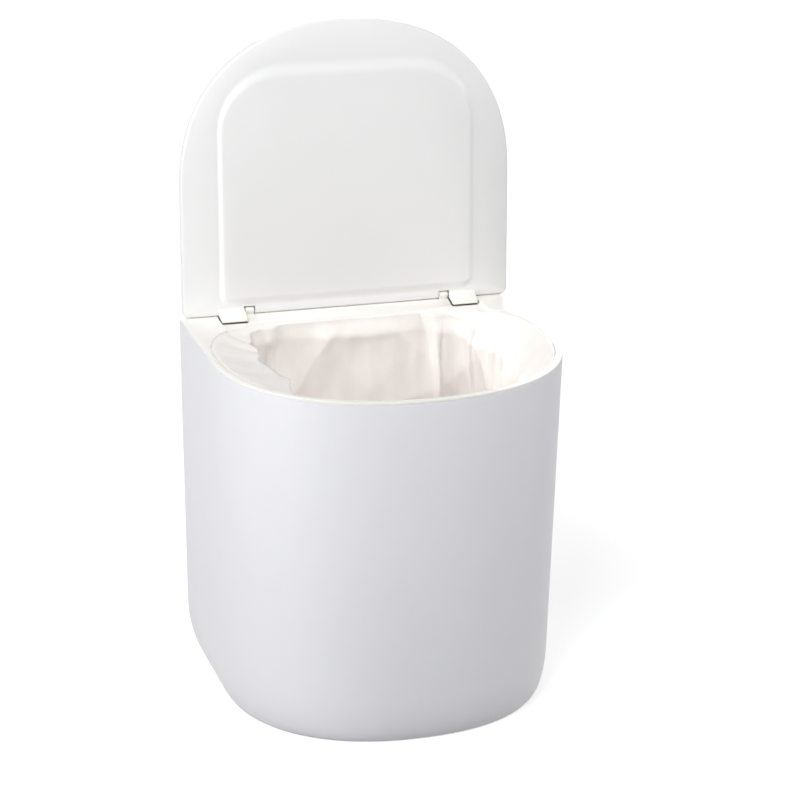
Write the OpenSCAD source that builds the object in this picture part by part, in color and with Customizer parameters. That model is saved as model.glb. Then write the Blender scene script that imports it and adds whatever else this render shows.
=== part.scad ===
// Countertop bin with a flat back, a rounded front and a flip-up lid.
// The origin is on the flat underside, midway between the back and the front of the plan.
// X runs across the bin, +Y points to the flat back and +Z points up.
// The lid is drawn closed and then turned open about its hinge pins.

/* [Bin] */
// Width across the mouth
bin_w = 200; // [180:2:230]
// Depth from the flat back to the rounded front
bin_d = 175; // [160:1:200]
// Height of the bin's own rim
bin_h = 203; // [160:1:280]
// Depth of the rounded front of the plan
front_len = 95.5; // [85:0.5:105]
// Fullness of the rounded front, where 2 is an ellipse
front_power = 2.25; // [2:0.05:2.8]
// Radius of the two upright rear corners
rear_corner_r = 5; // [3:0.5:8]
// Inward slope of the sides in degrees
draft = 1.1; // [0:0.1:1.6]
// Height of the rounded edge round the base
base_h = 26; // [14:1:40]
// How far the rounded edge runs in under the base
base_run = 6; // [3:0.5:9]
// How fast the rear corners grow rounder down the rounded edge
base_corner_growth = 4; // [1:0.1:4.5]
// Thickness of the wall
wall_t = 2; // [1.8:0.1:3]
// Thickness of the floor
floor_t = 3; // [2:0.1:5]

/* [Bag ring] */
// Thickness of the ring's lip and its sunken rear shelf
lip_t = 1.8; // [1.4:0.1:2.6]
// How far the lip stays in from the outside of the bin
lip_inset = 0.3; // [0.1:0.1:0.8]
// Room left between the skirt and the wall for the bag
skirt_gap = 0.95; // [0.8:0.05:1.1]
// Thickness of the skirt that hangs in the mouth
skirt_t = 1; // [0.8:0.1:1.8]
// Depth of the skirt below the lip
skirt_h = 5; // [5:0.5:10]
// Depth of the rear shelf, from the back to the mouth
shelf_d = 18.5; // [18:0.5:22]
// Radius of the mouth's two rear corners
mouth_r = 52; // [46:1:60]
// Gap between the pad of the closed lid and the end of the sunken shelf
shelf_side_gap = 1.5; // [1:0.1:2]

/* [Lid] */
// How far the lid stays in from the outside of the bin
lid_inset = 1.5; // [0.5:0.1:3]
// Gap between the lip and the closed lid
lid_gap = 0.4; // [0.3:0.05:0.8]
// Full thickness of the lid at its edge
lid_t = 6.7; // [6.2:0.1:9]
// Thickness of the lid's two mouldings
lid_wall = 1.8; // [1.4:0.1:2]
// Radius of the lid's upper edge
lid_edge_r = 2.2; // [1:0.1:2.6]
// Bevel of the lid's lower edge, which lets the rear edge roll past the shelf
lid_bevel = 1.4; // [1.3:0.05:1.5]
// How far the open lid leans back past upright, in degrees
lid_lean = 3; // [1:0.5:4]

/* [Lid pad] */
// Distance from the side of the bin to the raised pad under the lid
pad_margin = 22.7; // [20:0.1:36]
// Width of the plain margin in front of the pad
pad_front = 22.5; // [20:0.5:40]
// Distance from the hinge pins to the pad
pad_rear = 2.8; // [2.7:0.1:8]
// Depth of the pad
pad_h = 2; // [1.5:0.1:2.4]
// Width of the slopes at the pad's two sides
pad_side_run = 3.5; // [3:0.5:8]
// Width of the slope at the pad's front
pad_front_run = 9; // [4:0.5:9]
// Width of the slope at the pad's rear
pad_rear_run = 6; // [4:0.5:6]
// Radius of the pad's two front corners
pad_front_r = 39; // [20:1:45]
// Radius of the pad's two rear corners
pad_rear_r = 8; // [8:1:20]

/* [Hinge] */
// Radius of the lid's rear edge about the pins
barrel_r = 2.1; // [2:0.05:2.3]
// Gap between the bin's back wall and the closed hinge arm
arm_wall_gap = 0.3; // [0.3:0.05:0.8]
// Radius of a hinge pin
pin_r = 1; // [0.8:0.05:1.15]
// Running clearance round the pin in the arm
pin_gap = 0.06; // [0.03:0.01:0.09]
// Distance from the side of the bin to the inner side of an arm
arm_inset = 37.5; // [34:0.5:44]
// Width of an arm
arm_w = 15; // [12:0.5:18]
// Reach of an arm from the pin
arm_reach = 10; // [8:0.1:10.6]
// Height of the arm's root, which is its thick end
arm_root_t = 3.6; // [3.6:0.1:4.4]
// Height of the arm's tip
arm_tip_t = 1.8; // [1.2:0.1:2.6]
// How far the tip of the open arm dips below the lid's lower edge
arm_drop = 1.5; // [0:0.1:1.6]
// Clearance round an arm in its slot, and beside a lug
arm_gap = 0.5; // [0.4:0.05:0.8]
// Width of a lug on the shelf
lug_w = 5; // [4:0.5:10]
// Clearance beside and in front of a lug in the lid's pocket
lug_gap = 0.6; // [0.4:0.1:1]

/* [Bag] */
// Thickness of the film
film_t = 0.3; // [0.2:0.05:0.3]
// Room between the film and the wall below the ring
bag_gap = 1.4; // [1:0.1:4]
// Height over which the bag widens from the mouth to the wall
bag_shoulder = 46; // [30:1:70]

/* [Hidden] */

front_n = 64;
corner_n = 7;
round_n = 8;
pad_corner_n = 8;
bore_fn = 48;
cut = 1;

back_y = bin_d / 2;
curve_y = front_len - bin_d / 2;
lip_top = bin_h + lip_t;
mouth_inset = wall_t + skirt_gap + skirt_t;
pin_z = lip_top + lid_gap + barrel_r;
lid_open = 90 + lid_lean;
// The closed arm's tip reaches further back than the lid's rear edge.
tip_y = barrel_r + arm_reach * sin(lid_lean) + arm_drop;
pin_y = back_y - wall_t - arm_wall_gap - tip_y;
lid_rear_inset = back_y - pin_y - barrel_r;
lid_bottom = lip_top + lid_gap;
panel_top = lid_bottom + lid_wall;
pad_half_w = bin_w / 2 - pad_margin;
pad_y0 = -back_y + lid_inset + pad_front;
pad_y1 = pin_y - pad_rear;
// The rear shelf falls towards the mouth, to make room for the pad of the closed lid.
fall = pad_h;
fall_y0 = pad_y1 + 1.2;
fall_y1 = pad_y1 - pad_rear_run + 0.4;
lid_top = lid_bottom + lid_t;

// A D-shaped outline: half width a, rounded front b deep, flat back at y = yb, rear corners of radius r.
function d_outline(a, b, yb, r) = concat(
    [for (i = [0:front_n])
        let (c = cos(180 + 180 * i / front_n), s = sin(180 + 180 * i / front_n))
        [a * sign(c) * pow(abs(c), 2 / front_power), curve_y + b * sign(s) * pow(abs(s), 2 / front_power)]],
    [for (i = [0:corner_n]) [a - r + r * cos(90 * i / corner_n), yb - r + r * sin(90 * i / corner_n)]],
    [for (i = [0:corner_n]) [-a + r - r * sin(90 * i / corner_n), yb - r + r * cos(90 * i / corner_n)]]
);

// The plan of the bin taken in by one distance at the sides and front and by another at the back.
function plan(inset, rear, r) = d_outline(bin_w / 2 - inset, front_len - inset, back_y - rear, r);

function lift(outline, z) = [for (p = outline) [p[0], p[1], z]];

// A smooth step from 0 to 1.
function ease(t) = t * t * (3 - 2 * t);

// A solid through a list of level outlines with the same number of points.
module loft(rings) {
    n = len(rings[0]);
    last = len(rings) - 1;
    sides = [for (k = [0:last - 1], i = [0:n - 1])
        let (a = k * n + i, b = k * n + (i + 1) % n)
        each [[a, a + n, b + n], [a, b + n, b]]];
    caps = [[for (i = [0:n - 1]) i], [for (i = [n - 1:-1:0]) last * n + i]];
    polyhedron(points = [for (r = rings) each r], faces = concat(sides, caps), convexity = 6);
}

// The wall's outline at height z, taken in by the draft, the rounded base and an extra inset.
function base_in(z, z0) = z >= base_h ? 0
    : base_run * (1 - sqrt(max(0, 1 - pow((base_h - z) / (base_h - z0), 2))));
function wall_outline(z, z0, extra) =
    let (f = base_in(z, z0), slope = (bin_h - z) * tan(draft))
    plan(slope + f + extra, f + extra, max(rear_corner_r - extra, 1.5) + base_corner_growth * f);
function base_levels(z0) = [for (i = [0:round_n]) base_h - (base_h - z0) * cos(90 * i / round_n)];

module bin_body() {
    color("white")
    loft(concat(
        [for (z = base_levels(0)) lift(wall_outline(z, 0, 0), z)],
        [lift(wall_outline(bin_h, 0, 0), bin_h)],
        [lift(wall_outline(bin_h, floor_t, wall_t), bin_h)],
        [for (i = [round_n:-1:0]) let (z = base_levels(floor_t)[i]) lift(wall_outline(z, floor_t, wall_t), z)]
    ));
}

// The bag hangs outside the skirt at its top and lies along the wall lower down.
bag_top = bin_h - fall - 0.3;
bag_neck = bin_h - skirt_h;
bag_floor = floor_t + bag_gap;
bag_neck_inset = wall_t + (skirt_gap - film_t) / 2;
bag_neck_rear = shelf_d - skirt_t - (skirt_gap + film_t) / 2;
bag_neck_r = mouth_r + skirt_t + (skirt_gap + film_t) / 2;
shoulder_n = 7;

function bag_outline(z, t, thick) =
    let (f = base_in(z, bag_floor), slope = (bin_h - z) * tan(draft), e = ease(t))
    plan(
        (bag_neck_inset * (1 - e) + (wall_t + bag_gap + f) * e) + slope + thick,
        (bag_neck_rear * (1 - e) + (wall_t + bag_gap + f) * e) + thick,
        (bag_neck_r * (1 - e) + (rear_corner_r + base_corner_growth * f) * e) - thick
    );
function bag_rings(thick, zf) = concat(
    [for (z = base_levels(zf)) lift(bag_outline(max(z, bag_floor), 1, thick), z)],
    [for (i = [shoulder_n:-1:0]) let (z = bag_neck - bag_shoulder * i / shoulder_n)
        lift(bag_outline(z, i / shoulder_n, thick), z)],
    [lift(bag_outline(bag_top, 0, thick), bag_top)]
);

module bag_liner() {
    outside = bag_rings(0, bag_floor);
    inside = bag_rings(film_t, bag_floor + film_t);
    color("ivory")
    loft(concat(outside, [for (i = [len(inside) - 1:-1:0]) inside[i]]));
}

module plate(outline, z0, z1) {
    translate([0, 0, z0]) linear_extrude(z1 - z0) polygon(outline);
}

module along_x(x0, x1, y, z, r) {
    translate([x0, y, z]) rotate([0, 90, 0]) cylinder(h = x1 - x0, r = r, $fn = bore_fn);
}

// A bar along X with a section drawn in Y and Z about the pin.
module bar_x(x0, x1, section) {
    translate([x0, pin_y, pin_z]) rotate([90, 0, 90]) linear_extrude(x1 - x0) polygon(section);
}

arm_x = bin_w / 2 - arm_inset;
lug_x0 = arm_x - arm_gap * 2 - lug_w;
lug_x1 = arm_x - arm_gap * 2;
shelf_drop = barrel_r + lid_gap;

// One hinge lug stands on the shelf just inside each arm.
module lug() {
    foot = -shelf_drop - lip_t / 2;
    bar_x(lug_x0, lug_x1, [[-barrel_r, foot], [barrel_r, foot], [barrel_r, 0], [-barrel_r, 0]]);
    along_x(lug_x0, lug_x1, pin_y, pin_z, barrel_r);
}

slot_y0 = pin_y - arm_reach - arm_gap;
// The slot ends just behind the closed arm, where it passes the underside of the lip.
slot_y1 = pin_y + barrel_r + arm_gap
    + (tip_y - barrel_r) * (shelf_drop + lip_t - barrel_r) / (arm_reach - barrel_r);

shelf_half_w = pad_half_w + shelf_side_gap;
rib_half_w = lug_x0 - 9;
shelf_front = back_y - 3 * shelf_d;

// A bar along X, half_w to each side, with a section drawn in Y and Z.
module across(half_w, section) {
    translate([-half_w, 0, 0]) rotate([90, 0, 90]) linear_extrude(2 * half_w) polygon(section);
}

module shelf_underside() {
    across(shelf_half_w + lip_t, [
        [fall_y0 + lip_t, lip_top - lip_t / 2],
        [shelf_front, lip_top - lip_t / 2],
        [shelf_front, bin_h - fall],
        [fall_y1, bin_h - fall],
        [fall_y0 + lip_t, bin_h]
    ]);
}

module above_shelf() {
    across(shelf_half_w, [
        [fall_y0, lip_top],
        [fall_y0, lip_top + cut],
        [shelf_front - cut, lip_top + cut],
        [shelf_front - cut, lip_top - fall],
        [fall_y1, lip_top - fall]
    ]);
}

module bag_ring() {
    mouth = plan(mouth_inset, shelf_d, mouth_r);
    skirt = plan(mouth_inset - skirt_t, shelf_d - skirt_t, mouth_r + skirt_t);
    rib_y = back_y - wall_t - skirt_gap - skirt_t;
    color("ghostwhite")
    difference() {
        union() {
            plate(plan(lip_inset, lip_inset, rear_corner_r - lip_inset), bin_h, lip_top);
            plate(skirt, bin_h - skirt_h, bin_h);
            shelf_underside();
            translate([-rib_half_w, rib_y, bin_h - skirt_h]) cube([2 * rib_half_w, skirt_t, skirt_h]);
            for (side = [0, 1]) mirror([side, 0, 0]) lug();
        }
        above_shelf();
        plate(mouth, bin_h - skirt_h - cut, lip_top + cut);
        for (side = [0, 1]) mirror([side, 0, 0]) {
            along_x(lug_x0 - cut, lug_x1 + cut, pin_y, pin_z, pin_r);
            translate([arm_x - arm_gap, slot_y0, bin_h - fall - cut])
                cube([arm_w + 2 * arm_gap, slot_y1 - slot_y0, lip_t + fall + 2 * cut]);
        }
    }
}

pin_x1 = arm_x + arm_w - 4;

module hinge_pin() {
    color("silver") along_x(lug_x0, pin_x1, pin_y, pin_z, pin_r);
}

// Turns what is drawn for the closed lid to where the open lid stands.
module opened() {
    translate([0, pin_y, pin_z]) rotate([-lid_open, 0, 0]) translate([0, -pin_y, -pin_z]) children();
}

function lid_outline(extra) = plan(lid_inset + extra, lid_rear_inset + extra, max(rear_corner_r - lid_inset - extra, 1));

// Pockets in the rear edge: one round each lug, and one that holds the root of each arm.
module lid_pockets() {
    for (side = [0, 1]) mirror([side, 0, 0]) {
        translate([lug_x0 - lug_gap, pin_y - barrel_r - lug_gap, lid_bottom - cut])
            cube([arm_x - lug_x0 + lug_gap + 0.1, 2 * barrel_r + lug_gap + cut, barrel_r * 2 + lug_gap + cut]);
        translate([arm_x, pin_y - arm_root_y, lid_bottom - cut])
            cube([arm_w, arm_root_y + barrel_r + cut, barrel_r + arm_root_z + cut]);
    }
}

// The pad's outline: a rectangle with round corners, at t from its foot (0) to its flat (1), less an extra inset.
function pad_corner(x, y, rx, ry, start) = [for (i = [0:pad_corner_n])
    let (t = start + 90 * i / pad_corner_n) [x + rx * cos(t), y + ry * sin(t)]];
function pad_outline(t, in) =
    let (side = pad_side_run * t + in, front = pad_front_run * t + in, rear = pad_rear_run * t + in,
        w = pad_half_w, rf = pad_front_r, rr = pad_rear_r)
    concat(
        pad_corner(-w + rf, pad_y0 + rf, rf - side, rf - front, 180),
        pad_corner(w - rf, pad_y0 + rf, rf - side, rf - front, 270),
        pad_corner(w - rr, pad_y1 - rr, rr - side, rr - rear, 0),
        pad_corner(-w + rr, pad_y1 - rr, rr - side, rr - rear, 90)
    );
pad_steps = 6;

// The pad hangs below the closed lid; wall is the thickness left between its outside and its inside.
module pad(wall, top) {
    loft(concat(
        [for (i = [pad_steps:-1:0]) let (t = i / pad_steps)
            lift(pad_outline(t, wall), lid_bottom + wall - pad_h * ease(t))],
        [lift(pad_outline(0, wall), top)]
    ));
}

module lid_panel() {
    color("whitesmoke")
    opened() difference() {
        union() {
            loft([
                lift(lid_outline(lid_bevel), lid_bottom),
                lift(lid_outline(lid_bevel * 0.4), lid_bottom + lid_bevel * 0.4),
                lift(lid_outline(0), lid_bottom + lid_bevel),
                lift(lid_outline(0), panel_top)
            ]);
            pad(0, lid_bottom + lid_wall / 2);
        }
        pad(lid_wall, panel_top + cut);
        lid_pockets();
    }
}

module lid_cover() {
    inner_r = max(lid_edge_r - lid_wall, 0.4);
    color("white")
    opened() difference() {
        loft(concat(
            [lift(lid_outline(0), panel_top)],
            [for (i = [0:4]) let (t = 90 * i / 4)
                lift(lid_outline(lid_edge_r * (1 - cos(t))), lid_top - lid_edge_r * (1 - sin(t)))]
        ));
        loft([
            lift(lid_outline(lid_wall), panel_top - cut),
            lift(lid_outline(lid_wall), lid_top - lid_wall - inner_r),
            lift(lid_outline(lid_wall + inner_r), lid_top - lid_wall)
        ]);
        lid_pockets();
    }
}

arm_root_y = arm_root_t / 2 + 0.1;
arm_root_z = lid_t - barrel_r - lid_wall - 0.1;

// An arm, drawn as it hangs from the closed lid: its root fills the pocket, and its toe passes down the slot.
module hinge_arm() {
    color("white")
    opened() difference() {
        bar_x(arm_x, arm_x + arm_w, [
            [-arm_root_y, -barrel_r],
            [tip_y - arm_tip_t, -arm_reach],
            [tip_y, -arm_reach],
            [barrel_r, -barrel_r],
            [barrel_r, arm_root_z],
            [-arm_root_y, arm_root_z]
        ]);
        along_x(arm_x - cut, pin_x1 + arm_gap, pin_y, pin_z, pin_r + pin_gap);
    }
}

bin_body();
bag_liner();
bag_ring();
mirror([1, 0, 0]) hinge_pin();  // hinge_pin_left
hinge_pin();  // hinge_pin_right
lid_panel();
lid_cover();
mirror([1, 0, 0]) hinge_arm();  // hinge_arm_left
hinge_arm();  // hinge_arm_right
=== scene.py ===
"""A small white countertop bin: a flat-backed tub, a ring that holds the bag, and a lid that stands open."""

import math

import bpy
import numpy as np
from mathutils import Matrix, Vector


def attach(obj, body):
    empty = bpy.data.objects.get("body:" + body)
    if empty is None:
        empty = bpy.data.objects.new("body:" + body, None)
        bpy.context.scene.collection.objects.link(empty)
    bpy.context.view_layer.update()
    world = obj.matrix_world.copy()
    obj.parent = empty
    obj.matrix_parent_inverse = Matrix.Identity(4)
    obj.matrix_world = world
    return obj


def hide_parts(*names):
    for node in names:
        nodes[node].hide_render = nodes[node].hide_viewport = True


MM = 0.001

# The camera, fitted to the outlines of the tub, the rim and the lid.
# Angles are in degrees, lengths in mm or in pixels of a picture PICTURE wide.
PICTURE = 800
CAMERA_AZIMUTH = -17.382
CAMERA_ELEVATION = 19.795
CAMERA_ROLL = 0.933
CAMERA_FOCAL_PX = 2919.3
CAMERA_DISTANCE = 1673.1
CAMERA_AIM = (0.0, 0.0, 105.0)
AIM_PX = (384.374, 513.904)

# Sizes of the tub and the ring that the bag has to fit, in mm.
TUB_W = 200.0
TUB_D = 175.0
TUB_H = 203.0
FRONT_LEN = 95.5
FRONT_POWER = 2.25
WALL = 2.0
DRAFT = math.tan(math.radians(1.1))
BACK = TUB_D / 2
SPRING_Y = FRONT_LEN - BACK
SHELF_D = 18.5
MOUTH_R = 52.0
MOUTH_INSET = 3.95
SKIRT_BOTTOM = TUB_H - 5.0
LIP_TOP = TUB_H + 1.8
SHELF_Z = LIP_TOP - 2.0
PAD_HALF_W = 77.3
PAD_FRONT_Y = -64.0
BASE_TOP = 26.0

# Where the film runs: its distance from the wall, from the skirt's inside, and round the skirt's outside,
# how far it goes under the skirt, and how far from the wall it lies lower down.
FILM_TO_WALL = 0.33
FILM_TO_SKIRT = 0.3
ROUND_THE_SKIRT = 1.6
UNDER_SKIRT = 0.6
LOW_FILM_TO_WALL = 1.8

# The bag. Places round the mouth are in mm from the middle of the back, negative to the left.
BAG_SEED = 5
BAG_ROUND = 560
FLAP_ROWS = 16
HANG_ROWS = 116
BAG_FLOOR = 4.6
# How far the film reaches in before it drops.
BAG_FLAP = (
    (-275, 5), (-205, 17), (-165, 29), (-125, 29), (-98, 25), (-80, 14), (-64, 5), (-40, 2.6),
    (0, 3.2), (35, 2.6), (60, 3.4), (84, 8), (112, 13), (150, 15), (200, 10), (240, 6),
)
# How much it sags on the way.
BAG_DROP = (
    (-240, 4), (-165, 5), (-100, 4), (-60, 1), (0, 0.5),
    (50, 0.8), (84, 8), (130, 15), (180, 12), (240, 5),
)
# How much of that reach it keeps lower down.
BAG_KEPT = ((-200, 0.2), (-80, 0.2), (-40, 0.5), (60, 0.6), (90, 1.0), (180, 1.0), (240, 0.6))
# How far it bellies in below.
BAG_BELLY = (
    (-240, 10), (-150, 12), (-80, 8), (-30, 9), (20, 10),
    (55, 6), (66, 2), (80, 5), (130, 8), (200, 10),
)
# Creases: their number, the range of waves round the ring, the range of depths, and how much they lean.
SMALL_CREASES = (12, (20, 40), (0.15, 0.6), 0.03)
LARGE_CREASES = (16, (7, 16), (1.2, 3.2), 0.018)
# Depths below the flap at which the film has tucked back, swelled, settled, and reached the wall.
TUCK_DEPTH = 14
SWELL_DEPTH = 75
SETTLE_DEPTH = 100
WALL_DEPTH = 110
# The foot of the bag: how far it stands in, and how much its rear corners round.
FOOT_IN = 6
CORNER = 8
FOOT_CORNER = 24
# Upright pleats: place, half width, height. They lean, and fade out downwards.
PLEAT_LEAN = 0.06
PLEAT_DEPTH = 140
BAG_PLEATS = ((48, 3.4, 5.0), (73, 2.2, 2.4), (96, 2.4, 2.2), (-52, 3.0, 2.0))

# Colours, as sRGB hex. Plastics drift slowly between the two that are given.
TUB_PP = ("#E9E9ED", "#E7E7EC")
RING_PP = ("#FAF8F4", "#F8F5F0")
LID_PP = ("#F7F7F7", "#F5F5F5")
ARM_ACETAL = ("#FCFBF6", "#FAF9F2")
BAG_FILM = "#F9F5F2"
# Painted shade: the film takes this darker tone in its creases.
FILM_CREASE_SHADE = "#F5F0EC"
WIRE = "#B9BBBE"
FLOOR = ("#C2C2C2", "#BEBEBE")

# Light: the even surround, the floor's own brightness where it is seen, and the lamps.
# A lamp has a name, a place, a size and a power.
# The first three light the front as in the picture. The last one is for views from behind.
SURROUND = 0.16
FLOOR_GLOW = 0.7
LIT_POINT = (0, 0, 0.2)
LAMPS = (
    ("key", (-0.95, -1.25, 1.75), 0.9, 27),
    ("window", (-1.9, -0.5, 0.9), 1.0, 17),
    ("fill", (1.9, -0.6, 1.2), 1.0, 16),
    ("back", (0.7, 2.3, 0.9), 1.2, 18),
)


# ---------------------------------------------------------------- colours and nodes


def linear(hex_colour):
    """An sRGB hex colour as linear RGBA."""
    parts = [int(hex_colour[i : i + 2], 16) / 255 for i in (1, 3, 5)]
    return (*[c / 12.92 if c <= 0.04045 else ((c + 0.055) / 1.055) ** 2.4 for c in parts], 1.0)


def add(tree, kind, links=None, **settings):
    """Adds a node.

    Settings are its own properties or its inputs by name. Links are inputs fed by other sockets.
    """
    node = tree.nodes.new(kind)
    for name, value in settings.items():
        if hasattr(node, name):
            setattr(node, name, value)
        else:
            node.inputs[name.replace("_", " ")].default_value = value
    for name, socket in (links or {}).items():
        tree.links.new(socket, node.inputs[name])
    return node


def new_material(name):
    """An empty material with its output node."""
    material = bpy.data.materials.new(name)
    material.use_nodes = True
    tree = material.node_tree
    tree.nodes.clear()
    return material, tree, tree.nodes.new("ShaderNodeOutputMaterial")


def ramp(tree, source, stops):
    """A colour ramp over source. stops are (position, hex) pairs."""
    node = add(tree, "ShaderNodeValToRGB", {"Fac": source})
    marks = node.color_ramp.elements
    while len(marks) < len(stops):
        marks.new(0.5)
    for mark, (position, colour) in zip(marks, stops):
        mark.position = position
        mark.color = linear(colour)
    return node.outputs["Color"]


def moulded_plastic(name, colours, roughness, grain_mm, grain_depth_mm, translucency):
    """Injection-moulded plastic with slow flow variation and the fine grain of a spark-eroded tool.

    It drifts between the two colours. grain_mm is the grain's spacing.
    """
    light, shade = colours
    material, tree, output = new_material(name)
    place = add(tree, "ShaderNodeTexCoord").outputs["Object"]
    flow = add(tree, "ShaderNodeTexNoise", {"Vector": place}, Scale=1 / (60 * MM), Detail=2.0, Roughness=0.4)
    grain = add(
        tree, "ShaderNodeTexNoise", {"Vector": place}, Scale=1 / (grain_mm * MM), Detail=3.0, Roughness=0.55
    )
    fine = add(tree, "ShaderNodeTexVoronoi", {"Vector": place}, Scale=1 / (grain_mm * 1.6 * MM))
    mixed = add(
        tree, "ShaderNodeMath", {0: grain.outputs["Fac"], 1: fine.outputs["Distance"]}, operation="ADD"
    )
    colour = ramp(tree, flow.outputs["Fac"], [(0.3, shade), (0.7, light)])
    gloss = add(
        tree,
        "ShaderNodeMapRange",
        {"Value": flow.outputs["Fac"]},
        To_Min=roughness - 0.04,
        To_Max=roughness + 0.05,
    )
    bump = add(
        tree, "ShaderNodeBump", {"Height": mixed.outputs[0]}, Strength=1.0, Distance=grain_depth_mm * MM
    )
    shader = add(
        tree,
        "ShaderNodeBsdfPrincipled",
        {"Base Color": colour, "Roughness": gloss.outputs["Result"], "Normal": bump.outputs["Normal"]},
        IOR=1.49,
        Subsurface_Weight=translucency,
        Subsurface_Radius=(0.006, 0.005, 0.0045),
        Subsurface_Scale=0.6,
    )
    tree.links.new(shader.outputs[0], output.inputs["Surface"])
    return material


def polypropylene_tub():
    # Satin white polypropylene, moulded in one piece, very slightly see-through at its thin edges.
    return moulded_plastic("polypropylene_tub", TUB_PP, 0.42, 0.7, 0.006, 0.06)


def polypropylene_ring():
    # The same plastic from a smoother tool, coloured a touch warmer.
    return moulded_plastic("polypropylene_ring", RING_PP, 0.36, 0.6, 0.004, 0.08)


def polypropylene_lid():
    # Satin white polypropylene plate, two moulded halves.
    return moulded_plastic("polypropylene_lid", LID_PP, 0.40, 0.7, 0.005, 0.06)


def acetal_arm():
    # Moulded acetal: harder and a little glossier and creamier than the lid.
    return moulded_plastic("acetal_arm", ARM_ACETAL, 0.30, 0.5, 0.003, 0.05)


def drawn_steel_wire():
    """Drawn steel wire, with fine lines along the draw, which runs along X."""
    material, tree, output = new_material("drawn_steel_wire")
    place = add(tree, "ShaderNodeTexCoord").outputs["Object"]
    stretch = add(tree, "ShaderNodeMapping", {"Vector": place}, Scale=(60.0, 4000.0, 4000.0))
    lines = add(tree, "ShaderNodeTexNoise", {"Vector": stretch.outputs[0]}, Scale=1.0, Detail=2.0)
    gloss = add(tree, "ShaderNodeMapRange", {"Value": lines.outputs["Fac"]}, To_Min=0.22, To_Max=0.4)
    bump = add(tree, "ShaderNodeBump", {"Height": lines.outputs["Fac"]}, Strength=0.4, Distance=0.01 * MM)
    shader = add(
        tree,
        "ShaderNodeBsdfPrincipled",
        {"Roughness": gloss.outputs["Result"], "Normal": bump.outputs["Normal"]},
        Base_Color=linear(WIRE),
        Metallic=1.0,
    )
    tree.links.new(shader.outputs[0], output.inputs["Surface"])
    return material


def milky_film():
    """Thin milky polyethylene: its folds shine softly, and it is finely creased."""
    material, tree, output = new_material("milky_film")
    place = add(tree, "ShaderNodeTexCoord").outputs["Object"]
    warp = add(tree, "ShaderNodeMapping", {"Vector": place}, Scale=(1.0, 1.0, 0.45))
    crease = add(
        tree, "ShaderNodeTexNoise", {"Vector": warp.outputs[0]}, Scale=1 / (22 * MM), Detail=3.0, Roughness=0.5,
        Distortion=0.8,
    )
    ridge = add(tree, "ShaderNodeMath", {0: crease.outputs["Fac"]}, operation="PINGPONG")
    ridge.inputs[1].default_value = 0.5
    fine = add(tree, "ShaderNodeTexNoise", {"Vector": place}, Scale=1 / (5 * MM), Detail=3.0, Roughness=0.5)
    height = add(
        tree, "ShaderNodeMath", {0: fine.outputs["Fac"], 2: ridge.outputs[0]}, operation="MULTIPLY_ADD"
    )
    height.inputs[1].default_value = 0.1
    bump = add(tree, "ShaderNodeBump", {"Height": height.outputs[0]}, Strength=0.4, Distance=0.9 * MM)
    # Painted shade in the creases: where the crease noise is low, the film is coloured darker.
    colour = ramp(tree, crease.outputs["Fac"], [(0.32, FILM_CREASE_SHADE), (0.6, BAG_FILM)])
    # Painted light: below the ring the film glows a little, standing in for the daylight that a thin white wall
    # lets through.
    height_in_tub = add(tree, "ShaderNodeSeparateXYZ", {"Vector": place}).outputs["Z"]
    through = add(tree, "ShaderNodeMapRange", {"Value": height_in_tub}, interpolation_type="SMOOTHSTEP")
    for name, value in (("From Min", 200 * MM), ("From Max", 170 * MM), ("To Min", 0.0), ("To Max", 0.045)):
        through.inputs[name].default_value = value
    shader = add(
        tree,
        "ShaderNodeBsdfPrincipled",
        {
            "Base Color": colour,
            "Normal": bump.outputs["Normal"],
            "Emission Strength": through.outputs["Result"],
        },
        Emission_Color=linear(BAG_FILM),
        Roughness=0.4,
        IOR=1.4,
    )
    tree.links.new(shader.outputs[0], output.inputs["Surface"])
    return material


# ---------------------------------------------------------------- the moulded parts


def dress(node, material, edge_mm, angle=32):
    """Gives a moulded part its plastic, smooth faces, and edges as round as a tool leaves them."""
    mesh = node.data
    if mesh.attributes.get("custom_normal"):
        mesh.attributes.remove(mesh.attributes["custom_normal"])
    mesh.materials.clear()
    mesh.materials.append(material)
    for face in mesh.polygons:
        face.use_smooth = True
        face.material_index = 0
    weld = node.modifiers.new("weld", "WELD")
    weld.merge_threshold = 2e-6
    if edge_mm:
        edge = node.modifiers.new("edge", "BEVEL")
        edge.width = edge_mm * MM
        edge.segments = 2
        edge.limit_method = "ANGLE"
        edge.angle_limit = math.radians(angle)
        edge.use_clamp_overlap = True
    split = node.modifiers.new("split", "EDGE_SPLIT")
    split.split_angle = math.radians(angle + 6)
    return node


# ---------------------------------------------------------------- the bag


def ease(t):
    """A smooth step from 0 at t = 0 to 1 at t = 1."""
    return t * t * (3 - 2 * t)


def d_outline(inset, rear, corner, count):
    """count points on the tub's D-shaped plan.

    The plan is taken in by inset at the front and sides and by rear at the back. corner is its rear radius.
    They start at the middle of the back and go round by length, so a fold keeps its place from top to bottom.
    """
    a, b, yb = TUB_W / 2 - inset, FRONT_LEN - inset, BACK - rear
    t = np.linspace(math.pi, 2 * math.pi, 181)
    c, s = np.cos(t), np.sin(t)
    front_x = a * np.sign(c) * np.abs(c) ** (2 / FRONT_POWER)
    front_y = SPRING_Y + b * np.sign(s) * np.abs(s) ** (2 / FRONT_POWER)
    front = np.column_stack([front_x, front_y])
    u = np.linspace(0, math.pi / 2, 24)
    right = np.column_stack([a - corner + corner * np.cos(u), yb - corner + corner * np.sin(u)])
    left = np.column_stack([-a + corner - corner * np.sin(u), yb - corner + corner * np.cos(u)])
    back = np.array([[0.0, yb]])
    ring = np.concatenate([back, left, front, right, back])
    step = np.r_[0, np.cumsum(np.hypot(*np.diff(ring, axis=0).T))]
    at = np.linspace(0, step[-1], count, endpoint=False)
    return np.column_stack([np.interp(at, step, ring[:, 0]), np.interp(at, step, ring[:, 1])])


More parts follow.
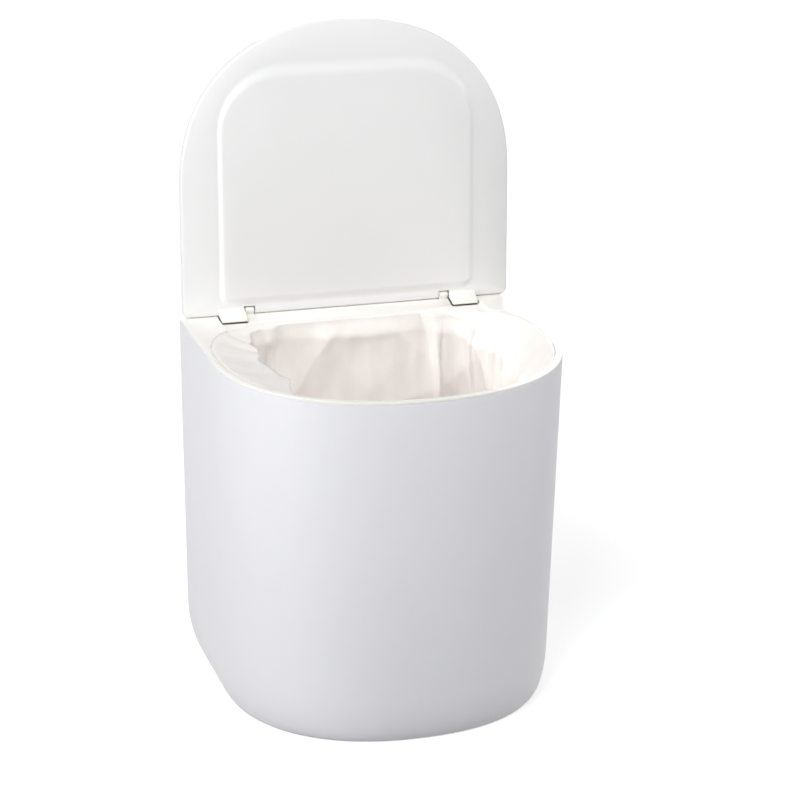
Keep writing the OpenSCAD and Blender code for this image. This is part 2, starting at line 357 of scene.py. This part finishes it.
def round_the_mouth(knots, place, length):
    """A quantity that varies smoothly round the mouth.

    Each knot is a place in mm round from the middle of the back, and the value there.
    """
    at = np.array([k[0] for k in knots], float)
    value = np.array([k[1] for k in knots], float)
    at = np.concatenate([at - length, at, at + length])
    value = np.tile(value, 3)
    k = np.clip(np.searchsorted(at, place, side="right") - 1, 0, len(at) - 2)
    return value[k] + (value[k + 1] - value[k]) * ease((place - at[k]) / (at[k + 1] - at[k]))


def make_folds(rng, number, waves, size, slant):
    """Random creases.

    Each has its waves round the ring, start, depth in mm, lean, the place where it is seen and how far.
    """
    return [
        (
            int(rng.integers(*waves)),
            rng.uniform(0, 1),
            rng.uniform(*size),
            rng.uniform(-slant, slant),
            rng.uniform(0, 1),
            rng.uniform(0.08, 0.3),
        )
        for _ in range(number)
    ]


def crumple(folds, share, z):
    """How far the creases stand in from the film at each place round the ring and height z, in mm."""
    relief = np.zeros_like(share)
    for waves, start, size, slant, middle, reach in folds:
        away = np.abs((share - middle + slant * z / waves + 0.5) % 1.0 - 0.5)
        seen = np.exp(-((away / reach) ** 2))
        turn = 0.3 * np.sin(2 * math.pi * (3 * share + start) + z / 70.0)
        along = waves * share + start + slant * z + turn
        relief += size * seen * (1 - np.abs(2 * (along % 1.0) - 1)) ** 1.9
    return relief


def crest_height(top):
    """How high the film's fold lies: below the closed lid's pad, or up to the lip where the pad isn't."""
    free = np.clip((np.abs(top[:, 0]) - PAD_HALF_W - 1) / 6, 0, 1)
    free = np.maximum(free, np.clip((-top[:, 1] + PAD_FRONT_Y) / 6, 0, 1))
    return (SHELF_Z + 0.05) * (1 - ease(free)) + (LIP_TOP - 0.15) * ease(free)


def base_curl(level):
    """0 above the tub's rounded foot, up to 1 at the bag's floor."""
    if level > BASE_TOP:
        return 0.0
    return 1 - math.sqrt(max(0.0, 1 - ((BASE_TOP - level) / (BASE_TOP - BAG_FLOOR)) ** 2))


def hang_outline(inside, level, wide, low):
    """The film's plan at a level below the flap. It goes from the mouth's plan to the wall's as wide goes to 1."""
    to_wall = WALL + LOW_FILM_TO_WALL + (TUB_H - level) * DRAFT + FOOT_IN * low
    return (
        inside[0] * (1 - wide) + to_wall * wide,
        inside[1] * (1 - wide) + (WALL + LOW_FILM_TO_WALL + FOOT_IN * low) * wide,
        inside[2] * (1 - wide) + (CORNER + FOOT_CORNER * low) * wide,
    )


def pleated(inset, place, depth):
    """The film's inset with the upright pleats added. A pleat starts wide at the flap and narrows below it."""
    for at, half, tall in BAG_PLEATS:
        away = np.abs(place - at - PLEAT_LEAN * depth) / (half * (1 + max(0.0, 1.2 - depth / TUCK_DEPTH)))
        inset = inset + tall * np.clip(1 - away ** 2, 0, 1) * (1 - 0.7 * ease(min(1, depth / PLEAT_DEPTH)))
    return inset


def bag():
    """The bag: held outside the ring's skirt, folded over inside it, loose below and lying on the tub's floor.

    It is a list of level rows of points. Depths and heights are in mm.
    """
    rng = np.random.default_rng(BAG_SEED)
    share = np.linspace(0, 1, BAG_ROUND, endpoint=False)
    held = (WALL + FILM_TO_WALL, SHELF_D - ROUND_THE_SKIRT, MOUTH_R + ROUND_THE_SKIRT)
    inside = (MOUTH_INSET + FILM_TO_SKIRT, SHELF_D + FILM_TO_SKIRT, MOUTH_R - FILM_TO_SKIRT)
    top = d_outline(*inside, BAG_ROUND)
    step = np.roll(top, -1, 0) - np.roll(top, 1, 0)
    length = np.hypot(*(top - np.roll(top, 1, 0)).T).sum()
    # The ring starts at the middle of the back and goes to the left, which counts as negative here.
    place = np.where(share < 0.5, -share, 1 - share) * length
    inward = np.column_stack([-step[:, 1], step[:, 0]]) / np.hypot(*step.T)[:, None]
    flap, drop, belly, kept = (
        round_the_mouth(k, place, length) for k in (BAG_FLAP, BAG_DROP, BAG_BELLY, BAG_KEPT)
    )
    crest = crest_height(top)
    small = make_folds(rng, *SMALL_CREASES)
    large = make_folds(rng, *LARGE_CREASES)
    rows = []

    def row(outline, z, inset=0.0):
        ring = d_outline(*outline, BAG_ROUND) + inward * np.broadcast_to(inset, share.shape)[:, None]
        rows.append(np.column_stack([ring, np.broadcast_to(z, share.shape)]))

    # Down outside the skirt, round its foot and up inside it.
    row(held, SKIRT_BOTTOM + 2.4)
    row(held, SKIRT_BOTTOM - UNDER_SKIRT)
    row([(a + b) / 2 for a, b in zip(held, inside)], SKIRT_BOTTOM - 1.1)
    row(inside, SKIRT_BOTTOM - UNDER_SKIRT)
    for t in (0.3, 0.6, 0.85, 1.0):
        row(inside, SKIRT_BOTTOM - UNDER_SKIRT + (crest - SKIRT_BOTTOM + UNDER_SKIRT) * t)
    # Over the crest and across the flap, which sags a little and is wrinkled.
    ragged = 1 + 0.07 * np.sin(2 * math.pi * 7 * share + 1) + 0.03 * np.sin(2 * math.pi * 17 * share)
    for k in range(1, FLAP_ROWS + 1):
        t = k / FLAP_ROWS
        wrinkle = crumple(small, share, 30 * t) * 0.6 + crumple(large, share, 30 * t) * 0.3
        z = crest - drop * t ** 1.4 - wrinkle * ease(min(1, 2 * t)) * np.clip(flap / 12, 0.15, 1)
        row(inside, z, flap * ragged * t)
    edge = rows[-1][:, 2]
    for k in range(1, HANG_ROWS + 1):
        t = (k / HANG_ROWS) ** 1.2
        z = edge * (1 - t) + BAG_FLOOR * t
        level = float(np.mean(z))
        depth = float(np.mean(edge)) - level
        low = base_curl(level)
        wide = ease(min(1.0, depth / WALL_DEPTH))
        # Under the flap the film falls back, swells in again half way down and meets the wall at the foot.
        tuck = ease(min(1.0, depth / TUCK_DEPTH))
        settled = ease(min(1.0, max(0.0, depth - SWELL_DEPTH) / SETTLE_DEPTH))
        swell = ease(min(1.0, depth / SWELL_DEPTH)) * (1 - 0.85 * settled)
        inset = flap * ragged * (1 - tuck * (1 - kept)) * (1 - 0.6 * wide) + belly * swell
        grown = ease(min(1.0, depth / 10)) * (1 - 0.7 * low)
        inset = inset + (crumple(large, share, depth) + crumple(small, share, depth)) * grown
        inset = pleated(inset, place, depth)
        row(hang_outline(inside, level, wide, low), z, np.maximum(inset, 0) * (1 - 0.45 * low))
    return rows


def film_mesh(name, rows, material):
    """A closed-bottomed skin through level rows of points, in mm."""
    count = len(rows[0])
    points = np.concatenate(rows) * MM
    faces = [
        (k * count + i, k * count + (i + 1) % count, (k + 1) * count + (i + 1) % count, (k + 1) * count + i)
        for k in range(len(rows) - 1)
        for i in range(count)
    ]
    foot = (len(rows) - 1) * count
    centre = len(points)
    points = np.vstack([points, points[foot:].mean(0)])
    faces += [(foot + i, foot + (i + 1) % count, centre) for i in range(count)]
    mesh = bpy.data.meshes.new(name)
    mesh.from_pydata(points.tolist(), [], faces)
    mesh.materials.append(material)
    for face in mesh.polygons:
        face.use_smooth = True
    piece = bpy.data.objects.new(name, mesh)
    bpy.context.scene.collection.objects.link(piece)
    return piece


# ---------------------------------------------------------------- camera, light and floor


def make_camera():
    """The fitted camera, moved sideways so that the point aimed at falls on its pixel."""
    azimuth, elevation, roll = (math.radians(x) for x in (CAMERA_AZIMUTH, CAMERA_ELEVATION, CAMERA_ROLL))
    back = Vector(
        (math.sin(azimuth) * math.cos(elevation), -math.cos(azimuth) * math.cos(elevation), math.sin(elevation))
    )
    right = Vector((math.cos(azimuth), math.sin(azimuth), 0))
    up = back.cross(right)
    across = right * math.cos(roll) + up * math.sin(roll)
    upward = up * math.cos(roll) - right * math.sin(roll)
    pixel = CAMERA_DISTANCE / CAMERA_FOCAL_PX
    centre = PICTURE / 2
    place = (
        Vector(CAMERA_AIM)
        + back * CAMERA_DISTANCE
        - across * (AIM_PX[0] - centre) * pixel
        + upward * (AIM_PX[1] - centre) * pixel
    ) * MM
    data = bpy.data.cameras.new("camera")
    data.sensor_width = 36
    data.lens = CAMERA_FOCAL_PX / PICTURE * 36
    data.clip_start = 0.05
    data.clip_end = 30
    camera = bpy.data.objects.new("camera", data)
    bpy.context.scene.collection.objects.link(camera)
    turn = Matrix((across, upward, back)).transposed().to_4x4()
    camera.matrix_world = Matrix.Translation(place) @ turn
    bpy.context.scene.camera = camera


def soft_lamp(name, place, size, power):
    """A white disk lamp turned to the object."""
    data = bpy.data.lights.new(name, "AREA")
    data.shape = "DISK"
    data.size = size
    data.energy = power
    lamp = bpy.data.objects.new(name, data)
    lamp.location = place
    lamp.rotation_euler = (Vector(LIT_POINT) - Vector(place)).to_track_quat("-Z", "Y").to_euler()
    bpy.context.scene.collection.objects.link(lamp)


def seen_directly(tree):
    """1 for what the camera sees itself, in a gloss or through something clear."""
    path = add(tree, "ShaderNodeLightPath")
    seen = path.outputs["Is Camera Ray"]
    for ray in ("Is Glossy Ray", "Is Transmission Ray"):
        seen = add(tree, "ShaderNodeMath", {0: seen, 1: path.outputs[ray]}, operation="MAXIMUM").outputs[0]
    return seen


def make_world():
    """A white surround: plain white where it is seen, and an even soft light elsewhere."""
    world = bpy.data.worlds.new("studio")
    world.use_nodes = True
    tree = world.node_tree
    tree.nodes.clear()
    strength = add(tree, "ShaderNodeMapRange", {"Value": seen_directly(tree)}, To_Min=SURROUND, To_Max=1.0)
    light = add(tree, "ShaderNodeBackground", {"Strength": strength.outputs["Result"]}, Color=(1, 1, 1, 1))
    output = tree.nodes.new("ShaderNodeOutputWorld")
    tree.links.new(light.outputs[0], output.inputs["Surface"])
    bpy.context.scene.world = world


def make_floor():
    """A pale floor that reads as white and keeps the bin's soft shadow."""
    mesh = bpy.data.meshes.new("floor")
    s = 4.0
    mesh.from_pydata([(-s, -s, 0), (s, -s, 0), (s, s, 0), (-s, s, 0)], [], [(0, 1, 2, 3)])
    material, tree, output = new_material("painted_floor")
    place = add(tree, "ShaderNodeTexCoord").outputs["Object"]
    mottle = add(tree, "ShaderNodeTexNoise", {"Vector": place}, Scale=3.0, Detail=3.0)
    colour = ramp(tree, mottle.outputs["Fac"], [(0.3, FLOOR[1]), (0.7, FLOOR[0])])
    paint = add(tree, "ShaderNodeBsdfDiffuse", {"Color": colour}, Roughness=0.6)
    grey = (FLOOR_GLOW, FLOOR_GLOW, FLOOR_GLOW, 1)
    glow = add(tree, "ShaderNodeEmission", {"Strength": seen_directly(tree)}, Color=grey)
    both = add(tree, "ShaderNodeAddShader", {0: paint.outputs[0], 1: glow.outputs[0]})
    tree.links.new(both.outputs[0], output.inputs["Surface"])
    mesh.materials.append(material)
    floor = bpy.data.objects.new("floor", mesh)
    floor.location = (0, 0, -0.0004)
    bpy.context.scene.collection.objects.link(floor)


# ---------------------------------------------------------------- the scene

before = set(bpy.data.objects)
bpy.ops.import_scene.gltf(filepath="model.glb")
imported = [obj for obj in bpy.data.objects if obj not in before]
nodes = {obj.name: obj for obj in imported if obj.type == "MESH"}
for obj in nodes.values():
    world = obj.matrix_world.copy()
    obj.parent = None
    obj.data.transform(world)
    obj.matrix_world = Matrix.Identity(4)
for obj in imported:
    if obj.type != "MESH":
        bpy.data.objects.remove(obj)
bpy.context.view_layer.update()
make_camera()

tub = polypropylene_tub()
ring = polypropylene_ring()
lid = polypropylene_lid()
arm = acetal_arm()
wire = drawn_steel_wire()

dress(nodes["bin_body"], tub, 0.5)
dress(nodes["bag_ring"], ring, 0.3)
dress(nodes["lid_panel"], lid, 0)
dress(nodes["lid_cover"], lid, 0)
for side in ("left", "right"):
    dress(nodes["hinge_arm_" + side], arm, 0.3)
    dress(nodes["hinge_pin_" + side], wire, 0.1)

bag_film = film_mesh("bag_film", bag(), milky_film())
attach(bag_film, "bin")
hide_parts("bag_liner")

scene = bpy.context.scene
scene.view_settings.view_transform = "Standard"
make_world()
for lamp in LAMPS:
    soft_lamp(*lamp)
make_floor()
